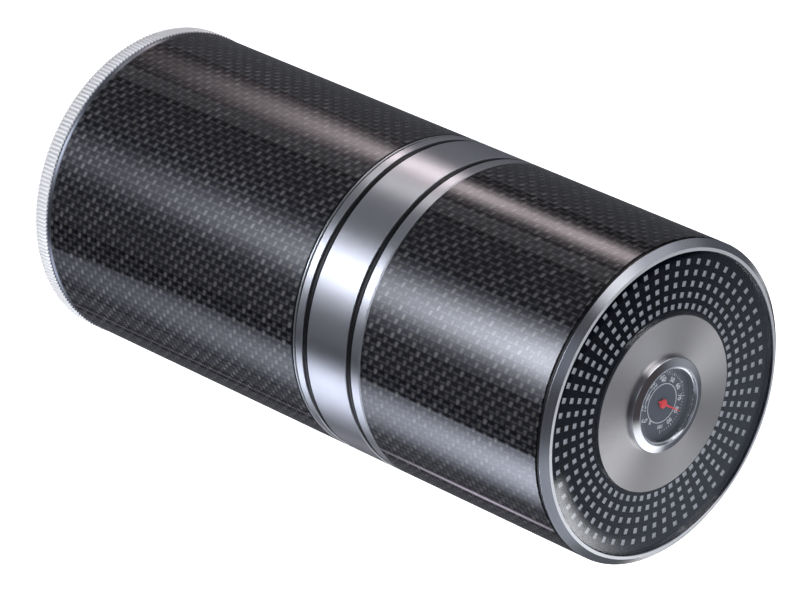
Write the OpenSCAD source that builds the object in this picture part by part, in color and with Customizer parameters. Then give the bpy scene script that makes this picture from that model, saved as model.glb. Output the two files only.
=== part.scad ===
// Cylindrical carbon-fibre humidor: body with neck, lift-off lid with a dial
// hygrometer in its end face, and a knurled base cap that unscrews with the humidifier.
// Millimetres, +Z up, the foot pad stands on z = 0.

/* [Output] */
// which node to build

/* [Outside] */
// outside radius of the carbon tubes
outer_r = 52; // [50:0.5:56]
// length of the long carbon tube
body_len = 114; // [95:0.05:135]
// length of the short carbon tube
lid_len = 74.95; // [60:0.05:95]
// height of the knurled rim
knurl_w = 5.7; // [4.8:0.1:7]
// height of the tapered shoulder above the teeth
shoulder_h = 1.35; // [0.8:0.05:2]
// number of teeth in the knurl
knurl_n = 236; // [120:4:260]
// height of the knurl's teeth above the tube
knurl_proud = 0.3; // [0.1:0.05:0.6]
// depth of the knurl's grooves
knurl_depth = 0.4; // [0.2:0.05:0.6]

/* [Band] */
// thin ring at the lid's mouth
lower_ring_w = 3.1; // [2:0.1:5]
// black inlay rings
inlay_w = 2.2; // [1.2:0.1:3]
// how far the inlay's crown lies under the metal
inlay_drop = 0.15; // [0.1:0.05:0.3]
// wide band
band_w = 17.25; // [12:0.25:22]
// thin ring against the lid's carbon
upper_ring_w = 4.15; // [3:0.05:6]

/* [Parting line] */
// thin black line above the body tube
seam_t = 0.5; // [0.3:0.1:0.8]
// bright line between the dark ones
end_ring_t = 0.5; // [0.3:0.1:0.8]
// rubber seat that the lid rests on
seat_t = 0.5; // [0.3:0.1:0.8]

/* [Lid end] */
// dark line under the bezel
bezel_gasket_t = 1.5; // [0.8:0.1:2]
// height of the bezel
bezel_h = 2.14; // [1.9:0.02:3]
// how far the disc lies under the bezel's edge
recess = 0.6; // [0.4:0.02:1.2]
// radius of the centre disc
disc_r = 28.27; // [26:0.01:29]
// size of the square windows
dot = 1.9; // [1.2:0.1:2.1]
// windows in each ring
dot_n = 60; // [36:1:60]
// radius of the innermost ring of windows
dot_r0 = 30.7; // [30.7:0.05:31.5]
// distance between the rings of windows
dot_pitch = 3.51; // [2.6:0.01:3.55]
// thickness of the black film with the windows
film_t = 0.2; // [0.15:0.05:0.6]

/* [Inside] */
// radius of the neck
neck_r = 49.3; // [48.9:0.05:49.3]
// how far the neck stands inside the lid
neck_h = 25.05; // [20:0.05:27]
// wall of the inner sleeve
sleeve_t = 2.4; // [2.2:0.1:2.6]
// thickness of the cedar liners
liner_t = 2.5; // [1.5:0.1:3]
// thickness of the cedar floor
floor_t = 3; // [2.5:0.5:4]
// radius of the base thread
thread_r = 42; // [41.5:0.1:42.3]

/* [Hygrometer] */
// radius of the gauge's bezel
gauge_r = 15.34; // [14.9:0.02:17]
// radius of the lens
lens_r = 12.35; // [12.2:0.01:12.5]
// how far the gauge's bezel stands above the disc
rim_proud = 2.3; // [2.2:0.05:2.8]
// height of the flat crown of the lens above its edge
lens_crown = 0.2; // [0.1:0.05:0.4]
// reading of the pointer
reading = 80; // [0:1:100]

/* [Hidden] */
$fn = 96;
e = 0.01;

pad_out = 0.15;
z_c0 = pad_out;                       // underside of the cap
z_k1 = z_c0 + knurl_w;                // top of the knurl
z_c1 = z_k1 + shoulder_h;             // top of the cap's shoulder
gask_t = 0.25;
z_b0 = z_c1 + gask_t;                 // bottom of the body
z_b1 = z_b0 + body_len;               // top of the long carbon tube
z_s1 = z_b1 + seam_t;
z_s2 = z_s1 + end_ring_t;
z_l0 = z_s2 + seat_t;                 // mouth of the lid
z_r1 = z_l0 + lower_ring_w;
z_r2 = z_r1 + inlay_w;
z_r3 = z_r2 + band_w;
z_r4 = z_r3 + inlay_w;
z_r5 = z_r4 + upper_ring_w;           // bottom of the short carbon tube
z_t1 = z_r5 + lid_len;                // its top
z_g1 = z_t1 + bezel_gasket_t;         // underside of the bezel
z_top = z_g1 + bezel_h;               // edge of the bezel
gz = z_top - recess;                  // plane of the centre disc
z_n1 = z_l0 + neck_h;                 // top of the neck

skin_r = neck_r + 1.1;                // inside of the lid's skins
bore_r = neck_r + 0.1;                // inside of the lid's sleeve
sl_r = neck_r - sleeve_t;             // inside of the body's sleeve
liner_r = sl_r - liner_t;             // inside of the body's liner
z_f0 = z_b0 + 17.55;                  // underside of the floor
z_f1 = z_f0 + floor_t;

ring_r = outer_r - 3.5;               // inner edge of the bezel, edge of the glass
z_p1 = gz - 3.54;                     // top of the end plate
z_p0 = z_p1 - 4;                      // its underside
z_q0 = z_p0 - 3;                      // underside of the cedar disc
gbore = 13.6;
ghouse = 12.7;
gin = 11.9;
z_h0 = z_q0 - 1.3;                    // back of the gauge's housing
z_l1 = gz + rim_proud - 0.1;          // edge of the lens
lens_t = 1.1;

module ring(r1, r0, z0, z1) {
  translate([0, 0, z0]) difference() {
    cylinder(r = r1, h = z1 - z0, $fn = 128);
    translate([0, 0, -1]) cylinder(r = r0, h = z1 - z0 + 2, $fn = 128);
  }
}

// ---------------------------------------------------------------- body
module body_tube() {
  color([0.05, 0.05, 0.06]) ring(outer_r, neck_r, z_b0, z_b1);
}
module body_sleeve() {
  color([0.75, 0.76, 0.78]) difference() {
    rotate_extrude($fn = 128) polygon([[sl_r, z_b0], [neck_r, z_b0], [neck_r, z_n1 - 1], [neck_r - 0.8, z_n1],
      [sl_r + 0.4, z_n1], [sl_r, z_n1 - 0.4]]);
    for (z = [z_l0 + 7, z_l0 + 17]) ring(neck_r + 1, neck_r - 1.6, z - 1.05, z + 1.05);
  }
}
module neck_orings() {
  color([0.06, 0.06, 0.06]) for (z = [z_l0 + 7, z_l0 + 17])
    translate([0, 0, z]) rotate_extrude($fn = 128) translate([neck_r - 0.76, 0]) circle(r = 0.84, $fn = 32);
}
module seam_gasket() {
  color([0.04, 0.04, 0.04]) ring(outer_r - 0.3, neck_r, z_b1, z_s1);
}
module body_end_ring() {
  color([0.8, 0.81, 0.83]) ring(outer_r, neck_r, z_s1, z_s2);
}
module seat_seal() {
  color([0.04, 0.04, 0.04]) ring(outer_r - 0.35, neck_r, z_s2, z_l0);
}
module body_liner() {
  color([0.62, 0.38, 0.22]) difference() {
    ring(sl_r, liner_r, z_f1, z_n1 - 0.6);
    translate([liner_r - 3, -0.3, z_f1 - 1]) cube([liner_t + 6, 0.6, z_n1 - z_f1 + 2]);
  }
}
module body_floor() {
  color([0.62, 0.38, 0.22]) difference() {
    translate([0, 0, z_f0]) cylinder(r = sl_r, h = floor_t);
    for (i = [0:7]) rotate(i * 45) translate([27, 0, z_f0 - 1]) cylinder(r = 3, h = floor_t + 2, $fn = 32);
    for (i = [0:5]) rotate(i * 60) translate([15, 0, z_f0 - 1]) cylinder(r = 3, h = floor_t + 2, $fn = 32);
    translate([0, 0, z_f0 - 1]) cylinder(r = 3, h = floor_t + 2, $fn = 32);
    for (i = [0:2]) rotate(i * 120 + 30) translate([39.2, 0, 0]) {
      translate([0, 0, z_f0 - 1]) cylinder(r = 1.7, h = floor_t + 2, $fn = 32);
      translate([0, 0, z_f1 - 1.5]) cylinder(r1 = 1.5, r2 = 3, h = 1.5, $fn = 32);
      translate([0, 0, z_f1 - e]) cylinder(r = 3, h = 1, $fn = 32);
    }
  }
}
module base_ring() {
  color([0.72, 0.73, 0.75]) difference() {
    union() {
      ring(sl_r, thread_r, z_b0, z_f0);
      ring(sl_r, 34, z_f0 - 2.4, z_f0);
    }
    for (i = [0:2]) rotate(i * 120 + 30) translate([39.2, 0, z_f0 - 4]) cylinder(r = 1.5, h = 6, $fn = 32);
  }
}
module floor_screws() {
  color([0.75, 0.6, 0.3]) for (i = [0:2]) rotate(i * 120 + 30) translate([39.2, 0, 0]) difference() {
    union() {
      translate([0, 0, z_f0 - 2.2]) cylinder(r = 1.5, h = floor_t + 1.9, $fn = 32);
      translate([0, 0, z_f1 - 1.5]) cylinder(r1 = 1.5, r2 = 2.9, h = 1.4, $fn = 32);
    }
    translate([-3, -0.3, z_f1 - 0.7]) cube([6, 0.6, 2]);
  }
}

// ---------------------------------------------------------------- base cap
module base_gasket() {
  color([0.04, 0.04, 0.04]) ring(outer_r - 0.6, thread_r + 0.5, z_c1, z_b0);
}
module base_cap() {
  rt = outer_r + knurl_proud;
  st = 360 / knurl_n;
  color([0.8, 0.81, 0.83]) difference() {
    union() {
      translate([0, 0, z_c0 + 0.4]) linear_extrude(knurl_w - 0.4) polygon([for (i = [0:knurl_n - 1]) each
        [[rt * cos(i * st - st * 0.22), rt * sin(i * st - st * 0.22)],
         [rt * cos(i * st + st * 0.22), rt * sin(i * st + st * 0.22)],
         [(rt - knurl_depth) * cos(i * st + st * 0.5), (rt - knurl_depth) * sin(i * st + st * 0.5)]]]);
      translate([0, 0, z_c0]) cylinder(r1 = outer_r - 0.8, r2 = outer_r - 0.3, h = 0.5, $fn = 128);
      translate([0, 0, z_k1 - 1]) rotate_extrude($fn = 128) polygon([[0, 0], [rt - knurl_depth - 0.05, 0],
        [rt - knurl_depth - 0.05, 1.1], [outer_r - 0.25, 1 + shoulder_h], [0, 1 + shoulder_h]]);
      translate([0, 0, z_c0 + 3]) cylinder(r = thread_r - 0.05, h = z_b0 + 8.55 - z_c0 - 3, $fn = 128);
    }
    translate([0, 0, z_c0 + 3.7]) cylinder(r = thread_r - 3.5, h = 30, $fn = 128);
    translate([0, 0, z_c0 - 1]) cylinder(r = 41, h = 1.5);
    translate([0, 0, z_c0]) cylinder(r = 1.5, h = 8, $fn = 32);
  }
}
module foot_pad() {
  color([0.06, 0.06, 0.06]) cylinder(r = 41, h = pad_out + 0.5);
}
cup_r = thread_r - 3.7;
z_u0 = z_c0 + 3.7;                    // underside of the humidifier cup
z_u1 = z_f0 - 5;                      // its rim
module humidifier_cup() {
  color([0.1, 0.1, 0.11]) difference() {
    translate([0, 0, z_u0]) cylinder(r = cup_r, h = z_u1 - z_u0);
    translate([0, 0, z_u0 + 1.5]) cylinder(r = cup_r - 1.5, h = 40);
    translate([0, 0, z_u0 - 1]) cylinder(r = 1.7, h = 5, $fn = 32);
  }
}
module humidity_pad() {
  color([0.25, 0.42, 0.3]) ring(cup_r - 1.6, 4.5, z_u0 + 1.5, z_u1 - 0.6);
}
module humidifier_grille() {
  color([0.12, 0.12, 0.13]) difference() {
    union() {
      translate([0, 0, z_u1]) cylinder(r = cup_r, h = 1.6);
      ring(cup_r - 1.6, cup_r - 2.8, z_u1 - 0.5, z_u1 + 0.5);
    }
    for (k = [1:4], i = [0:k * 6 - 1]) rotate(i * 60 / k) translate([k * 7.5, 0, z_u1 - 2])
      cylinder(r = 1.8, h = 6, $fn = 32);
    translate([0, 0, z_u1 - 2]) cylinder(r = 1.8, h = 6, $fn = 32);
  }
}
module cup_screw() {
  color([0.75, 0.75, 0.77]) difference() {
    union() {
      translate([0, 0, z_c0 + 0.8]) cylinder(r = 1.5, h = 6, $fn = 32);
      translate([0, 0, z_u0 + 1.5]) cylinder(r = 3.2, h = 1.8, $fn = 32);
    }
    translate([-4, -0.4, z_u0 + 2.5]) cube([8, 0.8, 2]);
  }
}

// ---------------------------------------------------------------- lid
module lower_ring() {
  color([0.8, 0.81, 0.83]) rotate_extrude($fn = 128) polygon([[skin_r, z_l0], [outer_r - 0.25, z_l0],
    [outer_r, z_l0 + 0.25], [outer_r, z_r1 - 0.2], [outer_r - 0.2, z_r1], [skin_r, z_r1]]);
}
module inlay(z0) {
  w = inlay_w;
  rotate_extrude($fn = 128) polygon([[skin_r, z0], [outer_r - inlay_drop - 0.5, z0],
    [outer_r - inlay_drop - 0.12, z0 + w * 0.18], [outer_r - inlay_drop, z0 + w * 0.4],
    [outer_r - inlay_drop, z0 + w * 0.6], [outer_r - inlay_drop - 0.12, z0 + w * 0.82],
    [outer_r - inlay_drop - 0.5, z0 + w], [skin_r, z0 + w]]);
}
module lower_inlay() {
  color([0.02, 0.02, 0.02]) inlay(z_r1);
}
module mid_band() {
  color([0.78, 0.79, 0.81]) rotate_extrude($fn = 128) polygon([[skin_r, z_r2], [outer_r - 0.2, z_r2],
    [outer_r, z_r2 + 0.2], [outer_r, z_r3 - 0.2], [outer_r - 0.2, z_r3], [skin_r, z_r3]]);
}
module upper_inlay() {
  color([0.02, 0.02, 0.02]) inlay(z_r3);
}
module upper_ring() {
  color([0.8, 0.81, 0.83]) rotate_extrude($fn = 128) polygon([[skin_r, z_r4], [outer_r - 0.2, z_r4],
    [outer_r, z_r4 + 0.2], [outer_r, z_r5 - 0.7], [outer_r - 0.18, z_r5], [skin_r, z_r5]]);
}
module lid_tube() {
  color([0.05, 0.05, 0.06]) ring(outer_r, skin_r, z_r5, z_t1);
}
module lid_sleeve() {
  color([0.75, 0.76, 0.78]) rotate_extrude($fn = 128) polygon([[bore_r + 0.3, z_l0], [skin_r, z_l0],
    [skin_r, z_p1], [bore_r, z_p1], [bore_r, z_l0 + 0.6]]);
}
module bezel_gasket() {
  color([0.02, 0.02, 0.02]) ring(outer_r - 0.35, skin_r, z_t1, z_g1);
}
module bezel_ring() {
  color([0.6, 0.62, 0.65]) rotate_extrude($fn = 128) polygon([[ring_r, z_p1], [skin_r, z_p1], [skin_r, z_g1],
    [outer_r, z_g1], [outer_r, z_g1 + 0.06], [ring_r + 1.15, z_top - 0.12], [ring_r + 0.15, z_top], [ring_r, z_top - 0.15]]);
}
module cover_glass() {
  color([0.8, 0.9, 1, 0.25]) ring(ring_r, disc_r, gz - 1.64, gz);
}
module dot_screen() {
  color([0.03, 0.03, 0.04]) translate([0, 0, gz - 1.64 - film_t]) linear_extrude(film_t) difference() {
    circle(r = ring_r, $fn = 128);
    circle(r = disc_r, $fn = 128);
    for (k = [0:4], i = [0:dot_n - 1]) rotate(i * 360 / dot_n + 2.3) translate([dot_r0 + k * dot_pitch, 0])
      square(dot, center = true);
  }
}
module backing_plate() {
  color([0.7, 0.71, 0.73]) ring(ring_r, disc_r, z_p1, gz - 1.64 - film_t);
}
module centre_disc() {
  color([0.72, 0.73, 0.75]) difference() {
    ring(disc_r, gbore, z_p1, gz);
    for (i = [0:2]) rotate(i * 120 + 90) translate([21, 0, z_p1 - 1]) cylinder(r = 1.5, h = 3.4, $fn = 32);
  }
}
module end_plate() {
  color([0.7, 0.71, 0.73]) difference() {
    ring(bore_r, gbore, z_p0, z_p1);
    for (i = [0:2]) rotate(i * 120 + 90) translate([21, 0, z_p0 - 1]) cylinder(r = 1.7, h = 6, $fn = 32);
  }
}
module lid_inner_disc() {
  color([0.62, 0.38, 0.22]) difference() {
    ring(bore_r, gbore, z_q0, z_p0);
    for (i = [0:2]) rotate(i * 120 + 90) translate([21, 0, z_q0 - 1]) cylinder(r = 1.7, h = 6, $fn = 32);
  }
}
module lid_liner() {
  color([0.62, 0.38, 0.22]) difference() {
    ring(bore_r, bore_r - liner_t, z_n1 + 1.5, z_q0);
    translate([bore_r - liner_t - 3, -0.3, z_n1]) cube([liner_t + 6, 0.6, z_q0 - z_n1 + 2]);
  }
}
module disc_screws() {
  color([0.75, 0.75, 0.77]) for (i = [0:2]) rotate(i * 120 + 90) translate([21, 0, 0]) difference() {
    union() {
      translate([0, 0, z_q0 - 1.4]) cylinder(r = 2.8, h = 1.4, $fn = 32);
      translate([0, 0, z_q0 - 0.5]) cylinder(r = 1.5, h = z_p1 - z_q0 + 2.7, $fn = 32);
    }
    translate([0, 0, z_q0 - 2]) cylinder(r = 1.25, h = 1.5, $fn = 6);
  }
}

// ---------------------------------------------------------------- hygrometer
module gauge_housing() {
  color([0.35, 0.36, 0.38]) difference() {
    union() {
      ring(ghouse, gin, z_h0, gz + 0.6);
      translate([0, 0, z_h0]) cylinder(r = ghouse, h = 0.8);
      ring(gin + 0.1, gin - 0.8, gz - 2.5, gz - 1.74);
    }
    for (i = [0:5]) rotate(i * 60) translate([4.5, -0.9, z_h0 - 1]) cube([5, 1.8, 3]);
  }
}
module gauge_bezel() {
  color([0.85, 0.86, 0.88]) rotate_extrude($fn = 128) polygon([[ghouse, gz], [gauge_r - 0.15, gz], [gauge_r, gz + 0.15],
    [gauge_r, gz + 1.35], [gauge_r - 0.2, gz + 1.55], [lens_r + 0.4, gz + rim_proud], [lens_r, gz + rim_proud],
    [lens_r, z_l1 - lens_t], [gin - 0.2, z_l1 - lens_t], [gin - 0.2, gz + 0.6], [ghouse, gz + 0.6]]);
}
module gauge_lens() {
  color([0.85, 0.93, 1, 0.25]) rotate_extrude($fn = 128) polygon([[0, z_l1 - lens_t], [lens_r, z_l1 - lens_t],
    [lens_r, z_l1], [lens_r - 1.05, z_l1 + lens_crown], [0, z_l1 + lens_crown]]);
}
module gauge_dial() {
  color([0.1, 0.11, 0.13]) ring(gin, 0.6, gz - 1.74, gz - 1.24);
}
module dial_marks() {
  color([0.9, 0.9, 0.9]) translate([0, 0, gz - 1.24]) linear_extrude(0.06) {
    difference() {
      circle(r = 6.45);
      circle(r = 6.2);
    }
    for (i = [0:50]) rotate(180 + 150 - i * 6) translate([9.1, -0.08])
      square([i % 5 == 0 ? 1 : 0.6, 0.16]);
  }
}
module gauge_ring() {
  color([0.05, 0.05, 0.05]) rotate_extrude($fn = 96) polygon([[ghouse, gz - 9.4], [gbore - 0.4, gz - 9.4], [gbore - 0.05, gz - 8.8],
    [gbore - 0.05, gz - 7.9], [gbore - 0.4, gz - 7.4], [gbore - 0.4, gz - 6.2], [gbore - 0.05, gz - 5.7], [gbore - 0.05, gz - 4.8],
    [gbore - 0.4, gz - 4.3], [gbore - 0.4, gz - 3.1], [gbore - 0.05, gz - 2.6], [gbore - 0.05, gz - 1.9], [gbore - 0.4, gz - 1.4], [ghouse, gz - 1.4]]);
}
module gauge_bridge() {
  color([0.75, 0.6, 0.3]) difference() {
    union() {
      translate([-10.5, -2, z_h0 + 2.3]) cube([21, 4, 0.8]);
      for (x = [-9, 9]) translate([x, 0, z_h0 + 0.8]) cylinder(r = 1.3, h = 1.6, $fn = 32);
      translate([0, 7.9, z_h0 + 0.8]) cylinder(r = 0.5, h = 6.6, $fn = 24);
      translate([-0.5, 1, z_h0 + 2.3]) cube([1, 6.9, 0.8]);
    }
    translate([0, 0, z_h0]) cylinder(r = 0.45, h = 5, $fn = 24);
    for (x = [-9, 9]) translate([x, 0, z_h0 + 0.8 - e]) cylinder(r = 0.6, h = 5, $fn = 24);
  }
}
module bridge_screws() {
  color([0.8, 0.8, 0.82]) for (x = [-9, 9]) translate([x, 0, 0]) difference() {
    union() {
      translate([0, 0, z_h0 + 0.8]) cylinder(r = 0.6, h = 2.8, $fn = 24);
      translate([0, 0, z_h0 + 3.1]) cylinder(r = 1.1, h = 0.7, $fn = 24);
    }
    translate([-2, -0.15, z_h0 + 3.5]) cube([4, 0.3, 1]);
  }
}
turns = 4.25;
csteps = 102;
function cr(i) = 1.1 + 6.1 * i / csteps;
function ca(i) = 90 + 360 * (i - csteps) / 24;
module gauge_coil() {
  color([0.7, 0.45, 0.25]) translate([0, 0, z_h0 + 3.6]) linear_extrude(3) polygon(concat(
    [for (i = [0:csteps]) [(cr(i) + 0.15) * cos(ca(i)), (cr(i) + 0.15) * sin(ca(i))]],
    [for (i = [csteps:-1:0]) [(cr(i) - 0.15) * cos(ca(i)), (cr(i) - 0.15) * sin(ca(i))]]));
}

// ---------------------------------------------------------------- pointer
pa = 180 + 150 - reading * 3;
module pointer() {
  color([0.75, 0.05, 0.05]) difference() {
    union() {
      rotate(pa) translate([0, 0, gz - 0.85]) linear_extrude(0.25)
        polygon([[-3.6, -0.65], [0, -0.55], [9.2, -0.14], [9.2, 0.14], [0, 0.55], [-3.6, 0.65]]);
      translate([0, 0, gz - 0.9]) cylinder(r = 1.7, h = 0.6, $fn = 32);
      translate([0, 0, gz - 0.3 - e]) cylinder(r1 = 1.4, r2 = 1, h = 0.3, $fn = 32);
    }
    translate([0, 0, gz - 1.2]) cylinder(r = 0.4, h = 0.9, $fn = 24);
  }
}
module arbor() {
  color([0.75, 0.6, 0.3]) union() {
    translate([0, 0, z_h0 + 1.6]) cylinder(r = 0.4, h = gz - 0.3 - z_h0 - 1.6, $fn = 24);
    translate([0, 0, z_h0 + 3.6]) cylinder(r = 0.8, h = 3.2, $fn = 24);
  }
}

body_tube();
body_sleeve();
neck_orings();
seam_gasket();
body_end_ring();
seat_seal();
body_liner();
body_floor();
base_ring();
floor_screws();
base_gasket();
base_cap();
foot_pad();
humidifier_cup();
humidity_pad();
humidifier_grille();
cup_screw();
lower_ring();
lower_inlay();
mid_band();
upper_inlay();
upper_ring();
lid_tube();
lid_sleeve();
bezel_gasket();
bezel_ring();
cover_glass();
dot_screen();
backing_plate();
centre_disc();
end_plate();
lid_inner_disc();
lid_liner();
disc_screws();
gauge_housing();
gauge_bezel();
gauge_lens();
gauge_dial();
dial_marks();
gauge_ring();
gauge_bridge();
bridge_screws();
gauge_coil();
pointer();
arbor();
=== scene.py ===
import math
import bmesh
import bpy
from mathutils import Matrix, Vector

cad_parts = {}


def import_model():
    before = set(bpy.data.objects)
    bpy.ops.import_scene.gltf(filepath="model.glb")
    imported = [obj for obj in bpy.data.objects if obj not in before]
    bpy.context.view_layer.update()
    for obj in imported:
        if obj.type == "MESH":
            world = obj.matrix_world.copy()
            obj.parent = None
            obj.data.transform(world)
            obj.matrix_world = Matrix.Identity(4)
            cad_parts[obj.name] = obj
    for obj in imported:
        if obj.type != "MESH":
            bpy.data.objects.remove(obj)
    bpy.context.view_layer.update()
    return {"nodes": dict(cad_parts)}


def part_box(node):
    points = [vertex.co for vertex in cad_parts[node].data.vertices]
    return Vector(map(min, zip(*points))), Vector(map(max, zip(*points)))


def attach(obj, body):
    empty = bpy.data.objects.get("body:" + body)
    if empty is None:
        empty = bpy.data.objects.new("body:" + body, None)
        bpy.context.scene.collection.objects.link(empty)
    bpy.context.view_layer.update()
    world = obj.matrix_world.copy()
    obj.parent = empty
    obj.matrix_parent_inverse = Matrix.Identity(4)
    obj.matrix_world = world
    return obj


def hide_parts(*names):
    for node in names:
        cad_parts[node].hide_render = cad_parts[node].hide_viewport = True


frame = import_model()
NODE = frame["nodes"]
MM = 0.001


def top(n):
    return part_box(n)[1][2] / MM


def low(n):
    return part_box(n)[0][2] / MM


def rad(n):
    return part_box(n)[1][0] / MM


R = round(rad("body_tube"), 2)          # outside radius of the tube
GZ = round(top("centre_disc"), 3)       # plane of the centre disc
LENS_R = round(rad("gauge_lens"), 2)
DIAL_Z = round(top("gauge_dial"), 3)

# ------------------------------------------------------------------ camera
# The view of the photograph: a long lens, 37 degrees above the plane of the disc.
CAM_F = 5149.55
CAM_P = Vector((1.526388, 0.619522, 29.830863))
CAM_D = Vector((-0.696503, -0.309275, 0.647482)).normalized()
_v = CAM_P.normalized()
_e1 = (-_v + _v.dot(CAM_D) * CAM_D).normalized()
_e2 = CAM_D.cross(_e1)
AX_X, AX_Y, AX_Z = -_e2, -_e1, -CAM_D


def add_camera():
    cam = bpy.data.cameras.new("camera")
    cam.sensor_fit = "HORIZONTAL"
    cam.sensor_width = 36.0
    cam.lens = CAM_F * 36.0 / 800.0
    cam.clip_start, cam.clip_end = 0.05, 60.0
    o = bpy.data.objects.new("camera", cam)
    bpy.context.scene.collection.objects.link(o)
    r = R * MM
    loc = Vector((-CAM_P.dot(AX_X), -CAM_P.dot(AX_Y), -CAM_P.dot(AX_Z))) * r + Vector((0, 0, GZ * MM))
    right = Vector((AX_X.x, AX_Y.x, AX_Z.x))
    up = -Vector((AX_X.y, AX_Y.y, AX_Z.y))
    back = -Vector((AX_X.z, AX_Y.z, AX_Z.z))
    m = Matrix((right, up, back)).transposed().to_4x4()
    m.translation = loc
    o.matrix_world = m
    bpy.context.scene.camera = o


add_camera()


def direction(az, el):
    """az is counted from -Y (the side that faces the camera) towards -X."""
    a, e = math.radians(az), math.radians(el)
    return Vector((-math.sin(a) * math.cos(e), -math.cos(a) * math.cos(e), math.sin(e)))


# ------------------------------------------------------------------ node helpers
class Tree:
    def __init__(self, nt):
        self.nt = nt
        self.x = -200

    def node(self, kind, **kw):
        n = self.nt.nodes.new(kind)
        self.x -= 40
        n.location = (self.x, 0)
        for k, v in kw.items():
            setattr(n, k, v)
        return n

    def link(self, a, b):
        self.nt.links.new(a, b)

    def put(self, sock, v):
        if isinstance(v, (int, float)):
            sock.default_value = v
        elif isinstance(v, (tuple, list)):
            if len(v) == 3 and sock.type == "RGBA":
                v = (*v, 1.0)
            sock.default_value = v
        else:
            self.link(v, sock)

    def math(self, op, a, b=None, c=None, clamp=False):
        n = self.node("ShaderNodeMath", operation=op, use_clamp=clamp)
        self.put(n.inputs[0], a)
        if b is not None:
            self.put(n.inputs[1], b)
        if c is not None:
            self.put(n.inputs[2], c)
        return n.outputs[0]

    def mapr(self, v, a, b, c=0.0, d=1.0, smooth=False):
        n = self.node("ShaderNodeMapRange", interpolation_type="SMOOTHSTEP" if smooth else "LINEAR", clamp=True)
        for s, x in zip(("Value", "From Min", "From Max", "To Min", "To Max"), (v, a, b, c, d)):
            self.put(n.inputs[s], x)
        return n.outputs[0]

    def mix(self, f, a, b):
        n = self.node("ShaderNodeMix", data_type="RGBA")
        self.put(n.inputs[0], f)
        self.put(n.inputs[6], a)
        self.put(n.inputs[7], b)
        return n.outputs[2]

    def mixf(self, f, a, b):
        n = self.node("ShaderNodeMix", data_type="FLOAT")
        self.put(n.inputs[0], f)
        self.put(n.inputs[2], a)
        self.put(n.inputs[3], b)
        return n.outputs[0]

    def coord(self):
        return self.node("ShaderNodeTexCoord").outputs["Object"]

    def xyz(self, v=None):
        n = self.node("ShaderNodeSeparateXYZ")
        self.link(v if v is not None else self.coord(), n.inputs[0])
        return n.outputs

    def combine(self, a, b, c):
        n = self.node("ShaderNodeCombineXYZ")
        for i, v in enumerate((a, b, c)):
            self.put(n.inputs[i], v)
        return n.outputs[0]

    def noise(self, vec, scale, detail=2.0, rough=0.5, out=0):
        n = self.node("ShaderNodeTexNoise")
        self.link(vec, n.inputs["Vector"])
        n.inputs["Scale"].default_value = scale
        n.inputs["Detail"].default_value = detail
        n.inputs["Roughness"].default_value = rough
        return n.outputs[out]

    def bump(self, h, strength, dist, normal=None):
        n = self.node("ShaderNodeBump")
        n.inputs["Strength"].default_value = strength
        n.inputs["Distance"].default_value = dist
        self.link(h, n.inputs["Height"])
        if normal is not None:
            self.link(normal, n.inputs["Normal"])
        return n.outputs[0]

    def polar(self):
        """angle in turns 0..1, radius in mm, z in mm"""
        x, y, z = self.xyz()
        th = self.math("ARCTAN2", y, x)
        th = self.math("MULTIPLY_ADD", th, 1 / (2 * math.pi), 0.5)
        r2 = self.math("ADD", self.math("MULTIPLY", x, x), self.math("MULTIPLY", y, y))
        r = self.math("MULTIPLY", self.math("SQRT", r2), 1000.0)
        return th, r, self.math("MULTIPLY", z, 1000.0)


MATS = {}


def material(name):
    def wrap(fn):
        m = bpy.data.materials.new(name)
        m.use_nodes = True
        t = Tree(m.node_tree)
        b = m.node_tree.nodes["Principled BSDF"]
        fn(t, b)
        MATS[name] = m
        return m
    return wrap


def setp(b, **kw):
    names = {"color": "Base Color", "metal": "Metallic", "rough": "Roughness", "ior": "IOR", "alpha": "Alpha",
             "spec": "Specular IOR Level", "aniso": "Anisotropic", "coat": "Coat Weight", "coat_rough": "Coat Roughness",
             "coat_ior": "Coat IOR", "trans": "Transmission Weight", "sheen": "Sheen Weight", "rot": "Anisotropic Rotation"}
    for k, v in kw.items():
        s = b.inputs[names[k]]
        if isinstance(v, (tuple, list)) and len(v) == 3:
            v = (*v, 1.0)
        s.default_value = v


def tangent(t, b):
    n = t.node("ShaderNodeTangent", direction_type="RADIAL", axis="Z")
    t.link(n.outputs[0], b.inputs["Tangent"])


# ------------------------------------------------------------------ materials
TOW_Z = (2.29, 2.35)   # pitch of the hoop tows along the body tube and along the lid tube, mm
TOW_N = 148            # axial tows round the tube


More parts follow.
